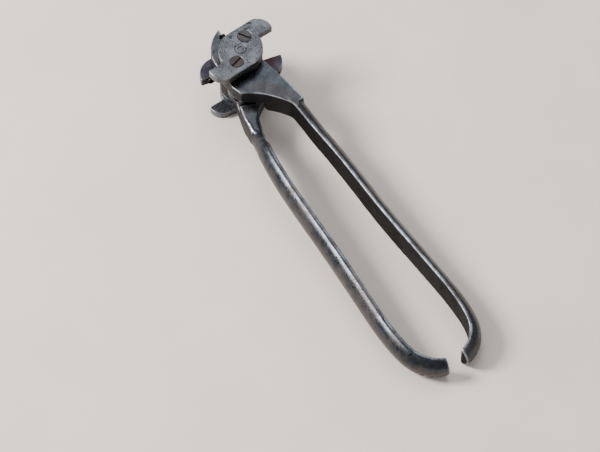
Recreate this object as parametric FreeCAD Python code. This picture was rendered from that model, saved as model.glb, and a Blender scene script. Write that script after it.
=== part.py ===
import FreeCAD, Part
import math
import os

from FreeCAD import Vector

# Rotary hole punch, pliers pattern. Millimetres.
# Origin: on the pivot axis, in the plane of the lower cap plate's outer face, on which the head
# rests. +X is towards the right handle, +Y towards the nose and +Z up. Every piece is drawn about
# the middle of the joint and then raised by PLATE_OUTER. The left lever is drawn as a right one and
# turned half a turn about Y. A four-arm punch star turns between the two laps.

# Levels, measured up from the middle of the joint (each level has its twin below)
STAR_HALF = 2.5
LAP_INNER = 2.7
LAP_OUTER = 10.4
WASHER_INNER = 10.44
WASHER_OUTER = 10.96
FLANGE_INNER = 11.0
PLATE_INNER = 13.0
PLATE_OUTER = 16.8

# Radii about the pivot axis
RIVET_R = 1.55
RIVET_HEAD_R = 2.6
RIVET_CENTRE_MARK_R = 1.4
RIVET_CENTRE_MARK_DEPTH = 0.4
SPINDLE_R = 4.45
SPINDLE_TAIL_R = 4.0
BUSH_INNER_R = 4.5
BUSH_OUTER_R = 5.5
WASHER_R = 9.5
FLANGE_R = 10.2
HUB_R = 10.2
STAR_HUB_R = 9.6
STAR_R = 20.0
STAR_ROOM_R = 20.8
SHOULDER_R = 22.0
OTHER_SHOULDER_R = 28.0
OTHER_SHOULDER_X = -1.0
HEAD_REACH = 60.0

# Punch star
ARM_COUNT = 4
ARM_STEP = 360.0 / ARM_COUNT
STAR_REST_ANGLE = 8.5
ARM_BACK_R = 18.3
ARM_BACK_ANGLE = 25.0
ARM_HEEL_R = 10.4
ARM_HEEL_ANGLE = 60.0
ARM_HOLLOW_R = 9.7
ARM_HOLLOW_ANGLE = 76.0
TUBE_RADIUS_ON_STAR = 15.2
TUBE_OUTER_R = 1.9
TUBE_SEAT_DEPTH = 4.0
TUBE_PROUD = 0.9
TUBE_RIM_WALL = 0.12
SLUG_HOLE_LENGTH = 14.0
TUBE_BORES = {"punch_tube_1_5mm": 0.75, "punch_tube_2mm": 1.0,
              "punch_tube_2_5mm": 1.25, "punch_tube_3mm": 1.5}
KEY_WIDTH = 2.0
KEY_INNER_R = 3.4
KEY_OUTER_R = 5.6

# Cap plates and their screws
SCREW_X = 5.3
SCREW_Y = 5.5
SCREW_HEAD_R = 3.2
SCREW_HEAD_T = 1.8
SCREW_SHANK_R = 1.5
SCREW_TIP_LEVEL = 11.3
SLOT_WIDTH = 0.9
SLOT_DEPTH = 0.9
SLOT_ANGLES = (-57.0, 21.0)

# Plan of one hook of each plate, from the foot of its flat face round to the disc
TOP_HOOK = {
    "face_root": (-11.1, -2.6),
    "face_tip": (-19.0, -3.4),
    "nose": (-18.2, -8.6),
    "heel": (-13.1, -12.3),
    "flank_end": (1.6, -10.5),
    "disc_side": (9.4, -4.6),
}
BOTTOM_HOOK = {
    "face_root": (-11.0, -1.8),
    "face_tip": (-18.6, -2.6),
    "nose": (-17.8, -6.9),
    "heel": (-13.4, -9.5),
    "flank_end": (1.0, -10.3),
    "disc_side": (9.0, -4.9),
}

# Anvil pad, which slides down out of the upper jaw to meet the punch tube
# These are drawn square to X, then leaned over so that pad and tube meet squarely when closed
CLOSED_ANGLE = 2.0
JAW_LEAN = STAR_REST_ANGLE - CLOSED_ANGLE
CLOSED_GAP = 0.05
ANVIL_FACE_X = -(TUBE_PROUD + CLOSED_GAP)
ANVIL_BACK_X = -2.75
JAW_FACE_X = -2.8
JAW_TIP_Y = 19.3
ANVIL_Y = (11.8, 17.0)
ANVIL_TOP = 8.6
ANVIL_BOTTOM = 2.8
TONGUE_BACK_X = -4.35
TONGUE_Y = (13.2, 15.4)
SLIDE_GAP = 0.05
GRUB_R = 1.0
GRUB_OUTER_X = -7.6
GRUB_SLOT_DEPTH = 0.6
GRUB_SLOT_WIDTH = 0.4
JAW_OUTSIDE_X = -12.0

# Spring detent under the star
DETENT_X = 5.5
DETENT_Y = 5.5
DETENT_BORE_R = 1.6
DETENT_BALL_R = 1.5
DETENT_BALL_GAP = 0.05
DETENT_DIMPLE_R = 1.0
DETENT_DIMPLE_FLOOR_R = 0.2
DETENT_DIMPLE_DEPTH = 0.5
DETENT_PLUG_T = 1.8
PLUG_SLOT_DEPTH = 0.6
PLUG_SLOT_WIDTH = 0.6
SPRING_WIRE_R = 0.22
SPRING_COIL_R = 1.2
SPRING_TURNS = 4
SPRING_END_GAP = 0.05

# Handles, station by station: x and y of the bar's middle, half height, middle level, width.
# The two bows differ a little. The left one is given as if on the right.
RIGHT_GRIP = [
    (8.2, -27.0, 6.30, 3.80, 6.6),
    (10.5, -35.0, 6.40, 3.80, 6.4),
    (12.2, -46.0, 6.60, 0.60, 6.2),
    (13.3, -60.0, 6.90, 0.00, 6.1),
    (14.2, -80.0, 7.20, 0.00, 6.0),
    (14.7, -100.0, 7.30, 0.00, 5.9),
    (15.9, -120.0, 7.30, 0.00, 5.8),
    (17.4, -140.0, 7.20, 0.00, 5.7),
    (18.4, -155.0, 7.10, 0.00, 5.7),
    (18.3, -167.5, 6.90, 0.00, 5.8),
    (15.8, -178.8, 6.60, 0.00, 5.7),
    (10.4, -185.4, 6.20, 0.00, 5.5),
    (4.1, -188.0, 5.40, 0.00, 5.1),
]
LEFT_GRIP = [
    (9.6, -27.0, 6.30, 3.80, 6.6),
    (12.1, -35.0, 6.40, 3.80, 6.3),
    (14.8, -46.0, 6.60, 0.60, 6.1),
    (16.6, -60.0, 7.00, 0.00, 6.0),
    (17.5, -80.0, 7.20, 0.00, 6.0),
    (17.7, -100.0, 7.20, 0.00, 6.0),
    (18.1, -120.0, 7.20, 0.00, 6.0),
    (18.8, -140.0, 7.10, 0.00, 6.0),
    (19.2, -155.0, 7.00, 0.00, 6.0),
    (18.6, -167.5, 6.80, 0.00, 6.0),
    (15.9, -179.0, 6.60, 0.00, 5.9),
    (10.5, -185.6, 6.20, 0.00, 5.7),
    (4.3, -188.2, 5.40, 0.00, 5.3),
]
NECK_Y = -35.0

GRIP_TOP_FLAT = 0.28

# Inner edge of each web, from the hub towards the handle (again both as if on the right)
RIGHT_WEB = [(-12.3, -13.4), (-10.8, -18.0), (-1.0, -24.6)]
LEFT_WEB = [(-10.6, -9.0), (-4.6, -16.6), (3.4, -22.6)]

# Other points in plan of a lever's head; the flank's x is a share of the neck's outer x
JAW_BACK = (-8.9, 12.7)
HUB_LEFT = (-12.4, 1.0)
HUB_RIGHT = (8.2, -6.07)
FLANK_SHARE = 0.8
FLANK_Y = -20.0


def point(x, y, z=0.0):
    return Vector(x, y, z)


def polar(radius, clockwise_degrees):
    """A point at an angle measured clockwise from the nose, seen from above."""
    a = math.radians(clockwise_degrees)
    return Vector(radius * math.sin(a), radius * math.cos(a), 0)


def line(a, b):
    return Part.LineSegment(a, b).toShape()


def arc(a, b, c):
    return Part.Arc(a, b, c).toShape()


def slab(edges, bottom, top):
    """A flat outline pushed up from one level to another."""
    face = Part.Face(Part.Wire(edges))
    face.translate(Vector(0, 0, bottom))
    return face.extrude(Vector(0, 0, top - bottom))


def disc(radius, bottom, top, x=0.0, y=0.0):
    return Part.makeCylinder(radius, top - bottom, Vector(x, y, bottom))


def ring(inner, outer, bottom, top):
    return disc(outer, bottom, top).cut(disc(inner, bottom, top))


def block(x_range, y_range, z_range):
    size = [high - low for low, high in (x_range, y_range, z_range)]
    return Part.makeBox(*size, Vector(x_range[0], y_range[0], z_range[0]))


def half_turn_about_y(shape):
    turned = shape.copy()
    turned.rotate(Vector(0, 0, 0), Vector(0, 1, 0), 180)
    return turned


def half_turn_about_z(shape):
    turned = shape.copy()
    turned.rotate(Vector(0, 0, 0), Vector(0, 0, 1), 180)
    return turned


# Levers


def on_jaw(x, y):
    """A point given square to the jaw's face, which leans as the star's arm does when closed."""
    a = math.radians(JAW_LEAN)
    return point(x * math.cos(a) + y * math.sin(a), y * math.cos(a) - x * math.sin(a))


def lean(shape):
    """Turns a shape drawn square to X into line with the jaw's face."""
    turned = shape.copy()
    turned.rotate(Vector(0, 0, 0), Vector(0, 0, 1), -JAW_LEAN)
    return turned


def lever_outline(grip, web):
    """Plan of a lever's head: jaw at the nose, hub, then the web to the handle."""
    neck_x, half_neck = [(x, width / 2) for x, y, _, _, width in grip if y == NECK_Y][0]
    jaw_tip = on_jaw(JAW_FACE_X, JAW_TIP_Y)
    hub_left = point(*HUB_LEFT)
    web_left, web_corner, web_middle = [point(x, y) for x, y in web]
    neck_inner = point(neck_x - half_neck, NECK_Y)
    neck_outer = point(neck_x + half_neck, NECK_Y)
    flank = point(FLANK_SHARE * neck_outer.x, FLANK_Y)
    hub_right = point(*HUB_RIGHT)
    jaw_root = on_jaw(JAW_FACE_X, math.sqrt(HUB_R ** 2 - JAW_FACE_X ** 2))
    return [
        arc(jaw_tip, point(*JAW_BACK), hub_left),
        line(hub_left, web_left),
        line(web_left, web_corner),
        arc(web_corner, web_middle, neck_inner),
        line(neck_inner, neck_outer),
        arc(neck_outer, flank, hub_right),
        arc(hub_right, point(HUB_R, 0), jaw_root),
        line(jaw_root, jaw_tip),
    ]


def grip_section(middle, tangent, half_height, level, width):
    """A D-shaped section: flat towards the other handle, with a narrow flat on top and bottom."""
    outward = Vector(-tangent.y, tangent.x, 0).normalize()
    if outward.x < 0 and abs(tangent.y) > abs(tangent.x):
        outward = outward * -1
    centre = Vector(middle.x, middle.y, level)
    up = Vector(0, 0, half_height)
    inner = centre - outward * (width / 2)
    shelf = inner + outward * (width * GRIP_TOP_FLAT)
    crest = centre + outward * (width / 2)
    return Part.Wire([
        line(inner - up, inner + up),
        line(inner + up, shelf + up),
        arc(shelf + up, crest, shelf - up),
        line(shelf - up, inner - up),
    ])


def grip_bar(grip):
    """The handle bar, lofted along its bowed centre line to the turned-in tail."""
    path = Part.BSplineCurve()
    path.interpolate([point(x, y) for x, y, *_ in grip])
    sections = []
    for x, y, half_height, level, width in grip:
        middle = point(x, y)
        tangent = path.tangent(path.parameter(middle))[0]
        if tangent.y > 0:
            tangent = tangent * -1
        sections.append(grip_section(middle, tangent, half_height, level, width))
    return Part.makeLoft(sections, True, False)


def lever(grip, web):
    """One forged lever with its lap, jaw, web and handle, drawn as the right one."""
    head = slab(lever_outline(grip, web), -STAR_HALF, LAP_OUTER)
    star_room = disc(STAR_ROOM_R, -STAR_HALF, LAP_INNER)
    other_shoulder = disc(OTHER_SHOULDER_R, -STAR_HALF, LAP_INNER)
    other_side = block(
        (-HEAD_REACH, OTHER_SHOULDER_X),
        (-HEAD_REACH, HEAD_REACH),
        (-STAR_HALF, LAP_INNER),
    )
    head = head.cut(star_room)
    head = head.cut(other_shoulder.common(other_side))
    body = head.fuse(grip_bar(grip))
    shoulder_gap = disc(SHOULDER_R, -LAP_OUTER, LAP_INNER)
    body = body.cut(shoulder_gap)
    return body.cut(disc(BUSH_OUTER_R, LAP_INNER, LAP_OUTER)).removeSplitter()


def right_lever():
    slot = block(
        (TONGUE_BACK_X - SLIDE_GAP, 0),
        (TONGUE_Y[0] - SLIDE_GAP, TONGUE_Y[1] + SLIDE_GAP),
        (LAP_INNER, LAP_OUTER),
    )
    middle_y = sum(TONGUE_Y) / 2
    grub_level = (ANVIL_TOP + ANVIL_BOTTOM) / 2
    start = Vector(JAW_OUTSIDE_X, middle_y, grub_level)
    length = TONGUE_BACK_X - JAW_OUTSIDE_X
    grub_hole = Part.makeCylinder(GRUB_R, length, start, Vector(1, 0, 0))
    return lever(RIGHT_GRIP, RIGHT_WEB).cut(lean(slot)).cut(lean(grub_hole))


def left_lever():
    bore = disc(DETENT_BORE_R, -LAP_OUTER, -LAP_INNER, DETENT_X, DETENT_Y)
    return half_turn_about_y(lever(LEFT_GRIP, LEFT_WEB)).cut(bore)


def bush(side):
    levels = sorted((side * LAP_INNER, side * LAP_OUTER))
    return ring(BUSH_INNER_R, BUSH_OUTER_R, *levels)


# Spindle and what it carries


def spindle():
    body = disc(SPINDLE_R, -FLANGE_INNER, FLANGE_INNER)
    body = body.fuse(disc(FLANGE_R, FLANGE_INNER, PLATE_INNER))
    body = body.fuse(disc(SPINDLE_TAIL_R, -PLATE_INNER, -FLANGE_INNER))
    body = body.cut(disc(RIVET_R, -PLATE_INNER, PLATE_INNER))
    body = body.cut(star_key())
    for shank in screw_shanks(1):
        body = body.cut(shank)
    return body.removeSplitter()


def star_key():
    half = KEY_WIDTH / 2
    return block((-half, half), (-KEY_OUTER_R, -KEY_INNER_R), (-STAR_HALF, STAR_HALF))


def bottom_flange():
    body = ring(SPINDLE_TAIL_R, FLANGE_R, -PLATE_INNER, -FLANGE_INNER)
    for shank in screw_shanks(-1):
        body = body.cut(shank)
    return body


def thrust_washer(side):
    levels = sorted((side * WASHER_INNER, side * WASHER_OUTER))
    return ring(BUSH_INNER_R, WASHER_R, *levels)


def centre_rivet():
    body = disc(RIVET_R, -PLATE_OUTER, PLATE_OUTER)
    mark = disc(RIVET_CENTRE_MARK_R, PLATE_OUTER - RIVET_CENTRE_MARK_DEPTH, PLATE_OUTER)
    for side in (1, -1):
        levels = sorted((side * PLATE_INNER, side * PLATE_OUTER))
        body = body.fuse(disc(RIVET_HEAD_R, *levels))
    return body.removeSplitter().cut(mark)


# Punch star


def star_outline():
    """Four hooked arms: a straight face on the anticlockwise side and a falling curved back."""
    edges = []
    for i in range(ARM_COUNT):
        a = STAR_REST_ANGLE + i * ARM_STEP
        root = polar(STAR_HUB_R, a)
        tip = polar(STAR_R, a)
        back = polar(ARM_BACK_R, a + ARM_BACK_ANGLE)
        heel = polar(ARM_HEEL_R, a + ARM_HEEL_ANGLE)
        hollow = polar(ARM_HOLLOW_R, a + ARM_HOLLOW_ANGLE)
        edges.append(line(root, tip))
        edges.append(arc(tip, back, heel))
        edges.append(arc(heel, hollow, polar(STAR_HUB_R, a + ARM_STEP)))
    return edges


def on_arm(shape, arm):
    """Turns a shape made for the nose (face square to X) onto one arm of the star."""
    turned = shape.copy()
    turned.rotate(Vector(0, 0, 0), Vector(0, 0, 1), -(STAR_REST_ANGLE + arm * ARM_STEP))
    return turned


def along_x(radius, x_from, x_to):
    start = Vector(x_from, TUBE_RADIUS_ON_STAR, 0)
    return Part.makeCylinder(radius, x_to - x_from, start, Vector(1, 0, 0))


def punch_star():
    """The star with a seat and a slug hole for each tube, and detent dimples below."""
    body = slab(star_outline(), -STAR_HALF, STAR_HALF)
    body = body.cut(disc(SPINDLE_R, -STAR_HALF, STAR_HALF)).cut(star_key())
    detent_radius = math.hypot(DETENT_X, DETENT_Y)
    detent_angle = math.degrees(math.atan2(DETENT_X, DETENT_Y))
    for arm, bore in enumerate(TUBE_BORES.values()):
        body = body.cut(on_arm(along_x(TUBE_OUTER_R, 0, TUBE_SEAT_DEPTH), arm))
        body = body.cut(on_arm(along_x(bore, 0, SLUG_HOLE_LENGTH), arm))
        centre = polar(detent_radius, detent_angle + arm * ARM_STEP)
        centre.z = -STAR_HALF
        dimple = Part.makeCone(
            DETENT_DIMPLE_R, DETENT_DIMPLE_FLOOR_R, DETENT_DIMPLE_DEPTH, centre
        )
        body = body.cut(dimple)
    return body


def punch_tube(arm, bore):
    """A hardened tube pressed into an arm, ground to a cutting rim where it stands proud."""
    rim = bore + TUBE_RIM_WALL
    shank = along_x(TUBE_OUTER_R, 0, TUBE_SEAT_DEPTH)
    start = Vector(-TUBE_PROUD, TUBE_RADIUS_ON_STAR, 0)
    edge = Part.makeCone(rim, TUBE_OUTER_R, TUBE_PROUD, start, Vector(1, 0, 0))
    hollow = along_x(bore, -TUBE_PROUD, TUBE_SEAT_DEPTH)
    return on_arm(shank.fuse(edge).cut(hollow), arm)


# Cap plates


def cap_plate(plan, side):
    """An S-shaped plate made of two equal hooks about the pivot."""
    at = {name: point(*place) for name, place in plan.items()}
    hook = [
        line(at["face_root"], at["face_tip"]),
        arc(at["face_tip"], at["nose"], at["heel"]),
        line(at["heel"], at["flank_end"]),
        arc(at["flank_end"], at["disc_side"], at["face_root"] * -1),
    ]
    edges = hook + [half_turn_about_z(edge) for edge in hook]
    levels = sorted((side * PLATE_INNER, side * PLATE_OUTER))
    body = slab(Part.__sortEdges__(edges), *levels)
    body = body.cut(disc(RIVET_HEAD_R, *levels))
    for screw in cap_screws(side, slotted=False):
        body = body.cut(screw)
    return body


def screw_places():
    """Where the two cap screws of one side stand, with the angle of each slot."""
    return [
        (SCREW_X, SCREW_Y, SLOT_ANGLES[0]),
        (-SCREW_X, -SCREW_Y, SLOT_ANGLES[1]),
    ]


def screw_shanks(side):
    """The threaded shanks as plain cylinders, one for each screw on that side."""
    levels = sorted((side * SCREW_TIP_LEVEL, side * PLATE_OUTER))
    return [disc(SCREW_SHANK_R, *levels, x, y) for x, y, _ in screw_places()]


def cap_screws(side, slotted=True):
    """Flush cheese-head screws, each with a sawn slot."""
    seat = PLATE_OUTER - SCREW_HEAD_T
    head_levels = sorted((side * seat, side * PLATE_OUTER))
    slot_levels = sorted((side * (PLATE_OUTER - SLOT_DEPTH), side * PLATE_OUTER))
    screws = []
    for (x, y, angle), shank in zip(screw_places(), screw_shanks(side)):
        screw = shank.fuse(disc(SCREW_HEAD_R, *head_levels, x, y)).removeSplitter()
        if slotted:
            half = SLOT_WIDTH / 2
            slot = block((-SCREW_HEAD_R, SCREW_HEAD_R), (-half, half), slot_levels)
            slot.rotate(Vector(0, 0, 0), Vector(0, 0, 1), angle)
            slot.translate(Vector(x, y, 0))
            screw = screw.cut(slot)
        screws.append(screw)
    return screws


# Anvil and detent


def anvil_pad():
    """The soft striking pad with its guide tongue at the back."""
    levels = (ANVIL_BOTTOM, ANVIL_TOP)
    pad = block((ANVIL_BACK_X, ANVIL_FACE_X), ANVIL_Y, levels)
    tongue = block((TONGUE_BACK_X, ANVIL_BACK_X), TONGUE_Y, levels)
    return lean(pad.fuse(tongue).removeSplitter())


def anvil_grub_screw():
    """A grub screw that drags on the tongue, so that the pad stays where it is put."""
    middle_y = sum(TONGUE_Y) / 2
    level = (ANVIL_TOP + ANVIL_BOTTOM) / 2
    length = TONGUE_BACK_X - SLIDE_GAP - GRUB_OUTER_X
    body = Part.makeCylinder(GRUB_R, length, Vector(GRUB_OUTER_X, middle_y, level), Vector(1, 0, 0))
    half = GRUB_SLOT_WIDTH / 2
    slot = block(
        (GRUB_OUTER_X, GRUB_OUTER_X + GRUB_SLOT_DEPTH),
        (middle_y - GRUB_R, middle_y + GRUB_R),
        (level - half, level + half),
    )
    return lean(body.cut(slot))


def detent_ball_level():
    return -STAR_HALF - DETENT_BALL_GAP - DETENT_BALL_R


def detent_ball():
    return Part.makeSphere(DETENT_BALL_R, Vector(DETENT_X, DETENT_Y, detent_ball_level()))


def detent_plug():
    """The slotted plug that closes the detent bore from below."""
    body = disc(DETENT_BORE_R, -LAP_OUTER, -LAP_OUTER + DETENT_PLUG_T, DETENT_X, DETENT_Y)
    half = PLUG_SLOT_WIDTH / 2
    slot = block(
        (-DETENT_BORE_R, DETENT_BORE_R),
        (-half, half),
        (-LAP_OUTER, -LAP_OUTER + PLUG_SLOT_DEPTH),
    )
    slot.translate(Vector(DETENT_X, DETENT_Y, 0))
    return body.cut(slot)


def detent_spring():
    """A round-wire coil between the plug and the ball."""
    bottom = -LAP_OUTER + DETENT_PLUG_T + SPRING_WIRE_R + SPRING_END_GAP
    top = detent_ball_level() - DETENT_BALL_R - SPRING_WIRE_R - SPRING_END_GAP
    helix = Part.makeHelix((top - bottom) / SPRING_TURNS, top - bottom, SPRING_COIL_R)
    wire = Part.Wire(helix)
    start = Vector(SPRING_COIL_R, 0, 0)
    circle = Part.Wire(Part.makeCircle(SPRING_WIRE_R, start, Vector(0, 1, 0)))
    coil = wire.makePipeShell([circle], True, True)
    coil.translate(Vector(DETENT_X, DETENT_Y, bottom))
    return coil


def all_nodes():
    nodes = {
        "right_lever": right_lever(),
        "left_lever": left_lever(),
        "upper_bush": bush(1),
        "lower_bush": bush(-1),
        "spindle": spindle(),
        "star_key": star_key(),
        "bottom_flange": bottom_flange(),
        "top_thrust_washer": thrust_washer(1),
        "bottom_thrust_washer": thrust_washer(-1),
        "centre_rivet": centre_rivet(),
        "punch_star": punch_star(),
        "top_cap_plate": cap_plate(TOP_HOOK, 1),
        "bottom_cap_plate": cap_plate(BOTTOM_HOOK, -1),
        "top_cap_screws": Part.makeCompound(cap_screws(1)),
        "bottom_cap_screws": Part.makeCompound(cap_screws(-1)),
        "anvil_pad": anvil_pad(),
        "anvil_grub_screw": anvil_grub_screw(),
        "detent_ball": detent_ball(),
        "detent_spring": detent_spring(),
        "detent_plug": detent_plug(),
    }
    for arm, (name, bore) in enumerate(TUBE_BORES.items()):
        nodes[name] = punch_tube(arm, bore)
    return nodes


os.makedirs("parts", exist_ok=True)
for name, shape in all_nodes().items():
    shape.translate(Vector(0, 0, PLATE_OUTER))
    shape.exportStep("parts/" + name + ".step")
    print(name, shape.isValid(), len(shape.Solids), round(shape.Volume, 1))
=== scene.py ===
import math

import bmesh
import bpy
import numpy as np
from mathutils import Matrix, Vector, noise


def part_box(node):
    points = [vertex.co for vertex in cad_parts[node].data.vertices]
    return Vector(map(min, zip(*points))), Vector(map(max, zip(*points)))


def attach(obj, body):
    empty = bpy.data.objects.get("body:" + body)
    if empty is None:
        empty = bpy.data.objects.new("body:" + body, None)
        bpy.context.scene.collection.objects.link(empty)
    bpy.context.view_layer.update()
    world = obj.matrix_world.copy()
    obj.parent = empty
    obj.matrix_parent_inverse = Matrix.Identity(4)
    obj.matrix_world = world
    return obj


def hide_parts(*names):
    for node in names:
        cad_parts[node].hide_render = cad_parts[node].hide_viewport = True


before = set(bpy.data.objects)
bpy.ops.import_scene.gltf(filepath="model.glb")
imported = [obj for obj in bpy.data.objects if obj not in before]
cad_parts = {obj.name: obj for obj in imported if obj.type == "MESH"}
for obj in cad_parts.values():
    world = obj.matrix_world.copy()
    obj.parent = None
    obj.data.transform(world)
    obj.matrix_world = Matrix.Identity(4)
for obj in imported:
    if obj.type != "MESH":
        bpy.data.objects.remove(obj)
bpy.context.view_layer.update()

MM = 0.001

# The camera. Distances along the view are in metres.
IMAGE_WIDTH_ON_TOOL = 272.7 * MM
CAMERA_AZIMUTH = math.radians(-30.9)
CAMERA_ELEVATION = math.radians(56.0)
CAMERA_DISTANCE = 1.6
CAMERA_AIM = Vector((-21.1, -88.9, 15.5)) * MM
CLIP_START = 0.05
CLIP_END = 20

# The studio, in metres and watts
FLOOR_SIZE = 6
LIGHT_AIM = (0.0, -0.09, 0.0168)
LIGHTS = (
    {"name": "window", "place": (-0.86, 0.53, 0.80), "size": 0.50, "power": 28,
     "colour": (1.0, 0.985, 0.96)},
    {"name": "sky_window", "place": (0.35, 0.55, 1.15), "size": 0.9, "power": 5,
     "colour": (0.88, 0.94, 1.0)},
)
WORLD_COLOUR = (0.93, 0.95, 1.0, 1)
WORLD_STRENGTH = 0.58

# Places on the levers, in millimetres. LAP_TOP is above the joint's middle and GRIND_FALL is a slope.
# The neck lies between its two y values; the handle and the head begin at the first, whole at the second.
JOINT_MIDDLE = 16.8
LAP_TOP = 10.4
GRIND_FROM_Y = -19
GRIND_FALL = 0.07
GRIND_DEEPEST = 0.75
NECK_Y = (-42, -31)
NECK_SOFT = 5
HANDLE_Y = (-24, -32)
HEAD_Y = (-44, -34)
TAIL_FROM_Y = -100 * MM
RIGHT_NICKS = (((14.9, -151.6, 17.4), 1.7, 1.0),)
LEFT_NICKS = (((-12.0, -187.4, 14.0), 2.0, 0.8), ((-15.6, -184.6, 14.6), 2.0, 0.8))

# Parts of the skin's unit normal at which the painted shade and the painted brown reflection begin and at
# which they are full
INNER_SHADE_NORMAL_X = (0.3125, 0.9375)
WALL_SHADE_NORMAL_Z = (13 / 18, 3 / 18)
OUTER_REFLECTION_NORMAL_Z = (0.42, 0.02)
# Share of the near-black painted shade laid on the head's walls
HEAD_WALL_PAINTED_SHADE = 0.8

# How a worn skin is made; lengths are in millimetres and NOISE_STEP is in cells per seed
SKIN_WELD = 0.002
RIDGE_ROUNDS = 14
RIDGE_UNIT = 0.12
RIDGE_BLUR_ROUNDS = 2
DENT_CELL = 9
PIT_CELL = 1.6
PIT_LEVEL = 0.28
PIT_PATCH_CELL = 14
PIT_PATCH_LEVEL = -0.35
PIT_DEPTH_GAIN = 2
PIT_SHADE_GAIN = 3
NOISE_STEP = (7.3, 3.1, 5.7)
LEVER_SKIN = {"voxel": 0.34, "rounding": 11, "dent": 0.05, "pit": 0.05}
TOP_PLATE_SKIN = {"voxel": 0.22, "rounding": 4, "dent": 0.05, "pit": 0.09}
BOTTOM_PLATE_SKIN = {"voxel": 0.22, "rounding": 5, "dent": 0.05, "pit": 0.09}
STAR_SKIN = {"voxel": 0.22, "rounding": 3, "dent": 0.06, "pit": 0.08}

# How a machined piece's edges are broken; lengths are in millimetres
MACHINED_WELD = 0.005
FLAT_ANGLE = math.radians(1)
BEVEL_ANGLE = math.radians(40)
BEVEL_SEGMENTS = 3

# Colours
BARE = (0.34, 0.35, 0.38)
BROWN = (0.045, 0.029, 0.023)
# Painted reflection: a brown sheen for the levers' sides that face sideways and down
PAINTED_REFLECTION_BROWN = (0.120, 0.098, 0.090)
DIRT = (0.010, 0.009, 0.009)
# Painted shade: near black for the levers' inner sides and the head's walls
PAINTED_SHADE_COLOUR = (0.005, 0.0045, 0.004)
BENCH_DARK = (0.86, 0.765, 0.665)
BENCH_LIGHT = (0.89, 0.80, 0.705)


# Mesh work


def remeshed_copy(node, name, voxel):
    """A dense, even copy of a CAD node's skin."""
    skin = bmesh.new()
    skin.from_mesh(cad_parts[node].data)
    bmesh.ops.remove_doubles(skin, verts=skin.verts, dist=SKIN_WELD * MM)
    mesh = bpy.data.meshes.new(name)
    skin.to_mesh(mesh)
    skin.free()
    piece = bpy.data.objects.new(name, mesh)
    bpy.context.scene.collection.objects.link(piece)
    remesh = piece.modifiers.new("remesh", "REMESH")
    remesh.mode = "VOXEL"
    remesh.voxel_size = voxel
    graph = bpy.context.evaluated_depsgraph_get()
    dense = bpy.data.meshes.new_from_object(piece.evaluated_get(graph))
    piece.modifiers.clear()
    piece.data = dense
    dense.name = name
    return piece


def coordinates(mesh):
    co = np.zeros(len(mesh.vertices) * 3)
    mesh.vertices.foreach_get("co", co)
    return co.reshape(-1, 3)


def vertex_normals(mesh):
    normals = np.zeros(len(mesh.vertices) * 3)
    mesh.vertex_normals.foreach_get("vector", normals)
    return normals.reshape(-1, 3)


def set_coordinates(mesh, co):
    mesh.vertices.foreach_set("co", co.ravel())
    mesh.update()


def mesh_edges(mesh):
    edges = np.zeros(len(mesh.edges) * 2, np.int64)
    mesh.edges.foreach_get("vertices", edges)
    return edges.reshape(-1, 2)


def add_attributes(mesh, **fields):
    """Stores per-vertex values under their names, for the materials to read."""
    for name, values in fields.items():
        attribute = mesh.attributes.new(name, "FLOAT", "POINT")
        attribute.data.foreach_set("value", values.astype(np.float32))


def relaxed(values, edges, rounds):
    """Laplacian smoothing of a per-vertex array, half way to the neighbours' mean each round."""
    count = len(values)
    a, b = edges[:, 0], edges[:, 1]
    degree = np.bincount(edges.ravel(), minlength=count)[:, None]
    out = values.copy()
    for _ in range(rounds):
        total = np.stack(
            [
                np.bincount(a, out[b, k], count) + np.bincount(b, out[a, k], count)
                for k in range(out.shape[1])
            ],
            axis=1,
        )
        out += (total / degree - out) / 2
    return out


def noise_field(co, cell, seed):
    """Smooth noise between about -1 and 1, with features one cell across."""
    shift = Vector([seed * step for step in NOISE_STEP])
    return np.array([noise.noise(Vector(p) / cell + shift) for p in co])


def ramp(values, start, full):
    """0 up to start, 1 from full on and straight in between, whichever of the two is greater."""
    return np.clip((values - start) / (full - start), 0, 1)


def within(values, low, high, soft):
    """1 between low and high, falling smoothly to 0 over soft on either side."""
    share = ramp(values, low - soft, low) * ramp(values, high + soft, high)
    return share * share * (3 - 2 * share)


def blend_neck(piece, rounds, share):
    """Melts the step where the flat neck runs into the round handle."""
    mesh = piece.data
    co = coordinates(mesh)
    melted = relaxed(co, mesh_edges(mesh), rounds)
    here = share * within(co[:, 1] / MM, *NECK_Y, NECK_SOFT)[:, None]
    set_coordinates(mesh, co + here * (melted - co))


def grind_web(piece, up):
    """Grinds a web's broad face to a shallow slope towards the handle."""
    mesh = piece.data
    co = coordinates(mesh)
    height = (co[:, 2] / MM - JOINT_MIDDLE) * up
    limit = LAP_TOP - np.clip((GRIND_FROM_Y - co[:, 1] / MM) * GRIND_FALL, 0, GRIND_DEEPEST)
    co[:, 2] = (np.minimum(height, limit) * up + JOINT_MIDDLE) * MM
    set_coordinates(mesh, co)


def mark_painted_light(piece, inward):
    """Records painted shade on a lever's inner side and head walls, and a painted brown reflection on its
    sides that face sideways and down.
    """
    mesh = piece.data
    y = coordinates(mesh)[:, 1] / MM
    normals = vertex_normals(mesh)
    handle = ramp(y, *HANDLE_Y)
    inner_shade = ramp(normals[:, 0] * inward, *INNER_SHADE_NORMAL_X)
    wall_shade = ramp(np.abs(normals[:, 2]), *WALL_SHADE_NORMAL_Z)
    # Painted shade: darker where the skin faces inward on the handle or is a wall of the head
    grime = np.maximum(inner_shade * handle, HEAD_WALL_PAINTED_SHADE * wall_shade * ramp(y, *HEAD_Y))
    # Painted reflection: brown on the handle's sides that face sideways and down, away from the painted
    # shade
    outside = ramp(normals[:, 2], *OUTER_REFLECTION_NORMAL_Z) * handle * (1 - inner_shade)
    add_attributes(mesh, grime=grime, outside=outside)


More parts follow.
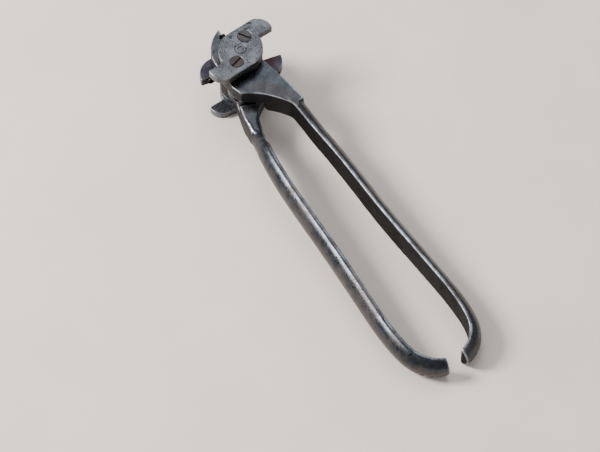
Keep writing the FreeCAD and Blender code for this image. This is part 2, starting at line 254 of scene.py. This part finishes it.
def worn(piece, rounding, dent, pit, seed):
    """Rounds the edges, dents and pits the skin, and records its ridges and pits."""
    mesh = piece.data
    edges = mesh_edges(mesh)
    soft = relaxed(coordinates(mesh), edges, rounding)
    softer = relaxed(soft, edges, RIDGE_ROUNDS)
    set_coordinates(mesh, soft)
    normals = vertex_normals(mesh)
    ridge = ((soft - softer) * normals).sum(axis=1) / (RIDGE_UNIT * MM)
    ridge = relaxed(ridge[:, None], edges, RIDGE_BLUR_ROUNDS)[:, 0]
    dents = 0.5 + 0.5 * noise_field(soft, DENT_CELL * MM, seed)
    pits = np.clip(noise_field(soft, PIT_CELL * MM, seed + 1) - PIT_LEVEL, 0, None)
    pits *= np.clip(noise_field(soft, PIT_PATCH_CELL * MM, seed + 2) - PIT_PATCH_LEVEL, 0, 1)
    depth = (dent * dents + pit * pits * PIT_DEPTH_GAIN) * MM
    set_coordinates(mesh, soft - normals * depth[:, None])
    add_attributes(mesh, ridge=ridge, pit=pits * PIT_SHADE_GAIN)
    mesh.polygons.foreach_set("use_smooth", [True] * len(mesh.polygons))


def nick(piece, centre, radius, depth):
    """Presses a small hollow into the piece, as a knock would."""
    mesh = piece.data
    co = coordinates(mesh)
    normals = vertex_normals(mesh)
    reach = np.linalg.norm(co - np.array(centre) * MM, axis=1) / (radius * MM)
    bite = np.clip(1 - reach**2, 0, 1) ** 2 * depth * MM
    set_coordinates(mesh, co - normals * bite[:, None])


def forged(node, body, material, skin, seed):
    """A worn skin that stands for a CAD node."""
    piece = remeshed_copy(node, "worn_" + node, skin["voxel"] * MM)
    worn(piece, skin["rounding"], skin["dent"], skin["pit"], seed)
    piece.data.materials.clear()
    piece.data.materials.append(material)
    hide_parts(node)
    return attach(piece, body)


def machined(node, material, bevel):
    """A CAD node kept as it is, with its sharp edges broken and a new finish."""
    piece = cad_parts[node]
    weld = piece.modifiers.new("weld", "WELD")
    weld.merge_threshold = MACHINED_WELD * MM
    flat = piece.modifiers.new("flat", "DECIMATE")
    flat.decimate_type = "DISSOLVE"
    flat.angle_limit = FLAT_ANGLE
    edge = piece.modifiers.new("edge", "BEVEL")
    edge.width = bevel * MM
    edge.segments = BEVEL_SEGMENTS
    edge.limit_method = "ANGLE"
    edge.angle_limit = BEVEL_ANGLE
    if not piece.material_slots:
        piece.data.materials.append(material)
    for place in piece.material_slots:
        place.material = material


# Materials


class Nodes:
    """Short calls for building a material's node tree, laid out in millimetres."""

    def __init__(self, name):
        self.material = bpy.data.materials.new(name)
        self.material.use_nodes = True
        self.tree = self.material.node_tree
        self.shader = self.tree.nodes["Principled BSDF"]
        place = self.tree.nodes.new("ShaderNodeTexCoord")
        scale = self.tree.nodes.new("ShaderNodeVectorMath")
        scale.operation = "SCALE"
        scale.inputs["Scale"].default_value = 1 / MM
        self.tree.links.new(place.outputs["Object"], scale.inputs[0])
        self.place = scale.outputs[0]

    def put(self, socket, value):
        """Links another node's output, or sets a number or a colour."""
        if hasattr(value, "is_linked"):
            self.tree.links.new(value, socket)
        elif isinstance(value, tuple) and len(value) == 3:
            socket.default_value = (*value, 1.0)
        else:
            socket.default_value = value

    def noise(self, cell, detail=5.0, roughness=0.6, stretch=None):
        """Noise with features about cell millimetres across."""
        made = self.tree.nodes.new("ShaderNodeTexNoise")
        made.inputs["Scale"].default_value = 1 / cell
        made.inputs["Detail"].default_value = detail
        made.inputs["Roughness"].default_value = roughness
        place = self.place
        if stretch:
            mapping = self.tree.nodes.new("ShaderNodeMapping")
            mapping.inputs["Scale"].default_value = stretch
            self.tree.links.new(self.place, mapping.inputs["Vector"])
            place = mapping.outputs[0]
        self.tree.links.new(place, made.inputs["Vector"])
        return made.outputs["Fac"]

    def speckle(self, cell):
        """Distance to scattered points, for pits and specks."""
        made = self.tree.nodes.new("ShaderNodeTexVoronoi")
        made.inputs["Scale"].default_value = 1 / cell
        self.tree.links.new(self.place, made.inputs["Vector"])
        return made.outputs["Distance"]

    def attribute(self, name):
        made = self.tree.nodes.new("ShaderNodeAttribute")
        made.attribute_name = name
        return made.outputs["Fac"]

    def span(self, value, low, high, out_low=0.0, out_high=1.0):
        """Maps low..high onto out_low..out_high, smoothly and clamped."""
        made = self.tree.nodes.new("ShaderNodeMapRange")
        made.interpolation_type = "SMOOTHSTEP"
        limits = {"From Min": low, "From Max": high, "To Min": out_low, "To Max": out_high}
        for name, number in limits.items():
            made.inputs[name].default_value = number
        self.put(made.inputs["Value"], value)
        return made.outputs["Result"]

    def math(self, operation, a, b):
        made = self.tree.nodes.new("ShaderNodeMath")
        made.operation = operation
        self.put(made.inputs[0], a)
        self.put(made.inputs[1], b)
        return made.outputs[0]

    def total(self, *values):
        """The sum of two or more values."""
        running = values[0]
        for value in values[1:]:
            running = self.math("ADD", running, value)
        return running

    def mix(self, share, a, b):
        made = self.tree.nodes.new("ShaderNodeMix")
        made.data_type = "RGBA"
        self.put(made.inputs["Factor"], share)
        self.put(made.inputs["A"], a)
        self.put(made.inputs["B"], b)
        return made.outputs["Result"]

    def bump(self, height, distance):
        """Raises fine relief, distance millimetres high."""
        made = self.tree.nodes.new("ShaderNodeBump")
        made.inputs["Strength"].default_value = 1.0
        made.inputs["Distance"].default_value = distance * MM
        self.put(made.inputs["Height"], height)
        self.put(self.shader.inputs["Normal"], made.outputs["Normal"])

    def finish(self, colour, roughness, metallic, specular=0.5):
        self.put(self.shader.inputs["Specular IOR Level"], specular)
        self.put(self.shader.inputs["Base Color"], colour)
        self.put(self.shader.inputs["Roughness"], roughness)
        self.put(self.shader.inputs["Metallic"], metallic)
        return self.material


def old_steel(name, dark, light, rust, grit, rust_share, gloss):
    """Handled old steel: mottled oxide, rust in the hollows, bare metal on the ridges, with painted shade
    and a painted brown reflection where the skin's attributes ask for them.
    """
    m = Nodes(name)
    patches = m.noise(17, 3)
    clouds = m.noise(4.5, 5, 0.6)
    grain = m.noise(0.55, 3, 0.65)
    specks = m.total(m.speckle(1.1), m.span(m.noise(2.2, 2), 0.35, 0.6, 0.25, 0))
    ridge = m.attribute("ridge")
    pit = m.attribute("pit")
    grime = m.attribute("grime")

    tone = m.total(m.span(clouds, 0.38, 0.64, 0, 0.5), m.span(grain, 0.42, 0.64, 0, grit))
    colour = m.mix(tone, dark, light)
    rust_patches = m.span(patches, 0.44, 0.60, 0, rust_share)
    rusted = m.math("MULTIPLY", rust_patches, m.span(grain, 0.25, 0.6))
    colour = m.mix(rusted, colour, rust)
    dirt = m.math("MAXIMUM", m.span(pit, 0.1, 0.9, 0, 0.7), m.span(specks, 0.25, 0.08, 0, grit))
    hollow = m.math("MAXIMUM", dirt, m.span(ridge, -0.25, -1.2, 0, 0.85))
    colour = m.mix(hollow, colour, DIRT)
    # Painted brown reflection on the sides that face sideways and down
    reflection_share = m.math("MULTIPLY", m.attribute("outside"), m.span(grain, 0.35, 0.6, 0.2, 0.7))
    colour = m.mix(reflection_share, colour, PAINTED_REFLECTION_BROWN)
    # Painted shade: near black on the inner sides and head walls
    colour = m.mix(m.math("MULTIPLY", grime, 0.95), colour, PAINTED_SHADE_COLOUR)
    rubbed = m.math("MULTIPLY", m.span(ridge, 0.35, 1.45), m.span(clouds, 0.3, 0.6, 0.35, 1.0))
    colour = m.mix(rubbed, colour, BARE)

    rough = m.total(gloss, m.span(grain, 0.3, 0.7, -0.04, 0.12), m.span(rusted, 0, 1, 0, 0.3))
    rough = m.math("SUBTRACT", rough, m.math("MULTIPLY", rubbed, 0.06))
    rough = m.total(rough, m.math("MULTIPLY", grime, 0.3), m.math("MULTIPLY", reflection_share, 0.16))
    relief = m.total(
        m.math("MULTIPLY", clouds, 0.25),
        m.math("MULTIPLY", grain, grit * 0.6),
        m.span(specks, 0.05, 0.28, 0, grit * 0.4),
    )
    m.bump(relief, 0.11)
    # The painted shade also takes away the metal and most of the specular sheen
    metal = m.math("MULTIPLY", m.span(rusted, 0, 1, 0.95, 0.25), m.span(grime, 0, 1, 1, 0.05))
    return m.finish(colour, rough, metal, m.span(grime, 0, 1, 0.5, 0.08))


def yellow_metal(name, deep, bright):
    """Tarnished brass or bronze with a turned grain."""
    m = Nodes(name)
    clouds = m.noise(2.5, 5)
    turned = m.noise(0.5, 3, 0.6, stretch=(0.2, 0.2, 1.0))
    colour = m.mix(m.span(clouds, 0.35, 0.65), deep, bright)
    m.bump(m.total(clouds, turned), 0.05)
    return m.finish(colour, m.span(clouds, 0.3, 0.7, 0.32, 0.55), 0.95)


def make_materials():
    return {
        "forged": old_steel(
            "blackened_forged_steel",
            dark=(0.030, 0.033, 0.038), light=(0.085, 0.090, 0.102), rust=(0.060, 0.042, 0.038),
            grit=0.22, rust_share=0.50, gloss=0.24,
        ),
        "plate": old_steel(
            "pitted_plate_steel",
            dark=(0.038, 0.041, 0.045), light=(0.200, 0.210, 0.225), rust=BROWN,
            grit=0.95, rust_share=0.30, gloss=0.34,
        ),
        "star": old_steel(
            "hardened_star_steel",
            dark=(0.020, 0.020, 0.026), light=(0.078, 0.070, 0.088), rust=(0.080, 0.020, 0.026),
            grit=0.5, rust_share=0.7, gloss=0.32,
        ),
        "screw": old_steel(
            "brown_screw_steel",
            dark=(0.030, 0.027, 0.028), light=(0.095, 0.086, 0.088), rust=(0.050, 0.030, 0.024),
            grit=0.7, rust_share=0.7, gloss=0.36,
        ),
        "ground": old_steel(
            "dulled_ground_steel",
            dark=(0.022, 0.021, 0.022), light=(0.085, 0.082, 0.084), rust=BROWN,
            grit=0.4, rust_share=0.3, gloss=0.32,
        ),
        "bronze": yellow_metal("bearing_bronze", (0.16, 0.09, 0.045), (0.40, 0.25, 0.12)),
        # The pad's near-black brass is painted shadow, for the shade the pad sits in between the jaws
        "pad": yellow_metal("brass_painted_shadow_black", (0.006, 0.005, 0.004), (0.020, 0.017, 0.012)),
    }


# The object


def build_levers(m):
    right = forged("right_lever", "right_lever", m["forged"], LEVER_SKIN, seed=3)
    left = forged("left_lever", "left_lever", m["forged"], LEVER_SKIN, seed=11)
    for hollow in RIGHT_NICKS:
        nick(right, *hollow)
    for hollow in LEFT_NICKS:
        nick(left, *hollow)
    grind_web(right, up=1)
    grind_web(left, up=-1)
    blend_neck(right, rounds=16, share=0.5)
    blend_neck(left, rounds=150, share=1.0)
    mark_painted_light(right, inward=-1)
    mark_painted_light(left, inward=1)


def build_head(m):
    forged("top_cap_plate", "turret", m["plate"], TOP_PLATE_SKIN, seed=21)
    forged("bottom_cap_plate", "turret", m["plate"], BOTTOM_PLATE_SKIN, seed=27)
    forged("punch_star", "turret", m["star"], STAR_SKIN, seed=33)


def finish_small_parts(m):
    """Gives each remaining CAD node its material and the width of its broken edges, in millimetres."""
    tubes = sorted(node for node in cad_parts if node.startswith("punch_tube"))
    bright = ("top_thrust_washer", "bottom_thrust_washer", "detent_ball", "detent_spring")
    screws = ("top_cap_screws", "bottom_cap_screws", "anvil_grub_screw", "detent_plug")
    for nodes, material, bevel in (
        (screws, "screw", 0.12),
        (("spindle", "bottom_flange", "centre_rivet"), "plate", 0.2),
        (bright, "ground", 0.08),
        (tubes, "ground", 0.03),
        (("upper_bush", "lower_bush"), "bronze", 0.15),
        (("star_key",), "star", 0.1),
        # The anvil pad gets the near-black brass that is painted shadow
        (("anvil_pad",), "pad", 0.2),
    ):
        for node in nodes:
            machined(node, m[material], bevel)


# The studio


def make_floor():
    """A pale bench top that touches the lower cap plate and the lower of the two handle tails."""
    heel = Vector(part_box("bottom_cap_plate")[0])
    levers = [bpy.data.objects["worn_" + side] for side in ("left_lever", "right_lever")]
    skin = np.concatenate([coordinates(lever.data) for lever in levers])
    tails = skin[skin[:, 1] < TAIL_FROM_Y]
    slope = ((tails[:, 2] - heel.z) / (heel.y - tails[:, 1])).min()
    bpy.ops.mesh.primitive_plane_add(size=FLOOR_SIZE, location=(0, heel.y, heel.z))
    floor = bpy.context.object
    floor.name = "floor"
    floor.rotation_euler = (-math.atan(slope), 0, 0)
    m = Nodes("pale_bench")
    colour = m.mix(m.span(m.noise(60, 3), 0.3, 0.7), BENCH_DARK, BENCH_LIGHT)
    floor.data.materials.append(m.finish(colour, 0.75, 0.0))


def area_light(name, place, size, power, colour):
    data = bpy.data.lights.new(name, "AREA")
    data.shape = "DISK"
    data.size = size
    data.energy = power
    data.color = colour
    lamp = bpy.data.objects.new(name, data)
    bpy.context.scene.collection.objects.link(lamp)
    lamp.location = place
    lamp.rotation_mode = "QUATERNION"
    lamp.rotation_quaternion = (Vector(LIGHT_AIM) - Vector(place)).to_track_quat("-Z", "Y")


def make_lights():
    for light in LIGHTS:
        area_light(**light)
    world = bpy.data.worlds.new("studio")
    bpy.context.scene.world = world
    world.use_nodes = True
    sky = world.node_tree.nodes["Background"]
    sky.inputs["Color"].default_value = WORLD_COLOUR
    sky.inputs["Strength"].default_value = WORLD_STRENGTH


def make_camera():
    data = bpy.data.cameras.new("camera")
    camera = bpy.data.objects.new("camera", data)
    bpy.context.scene.collection.objects.link(camera)
    flat = math.cos(CAMERA_ELEVATION)
    back = Vector((
        math.sin(CAMERA_AZIMUTH) * flat,
        -math.cos(CAMERA_AZIMUTH) * flat,
        math.sin(CAMERA_ELEVATION),
    ))
    camera.location = CAMERA_AIM + back * CAMERA_DISTANCE
    camera.rotation_mode = "QUATERNION"
    camera.rotation_quaternion = (-back).to_track_quat("-Z", "Y")
    data.lens = data.sensor_width * CAMERA_DISTANCE / IMAGE_WIDTH_ON_TOOL
    data.clip_start = CLIP_START
    data.clip_end = CLIP_END
    bpy.context.scene.camera = camera


materials = make_materials()
build_levers(materials)
build_head(materials)
finish_small_parts(materials)
make_floor()
make_lights()
make_camera()
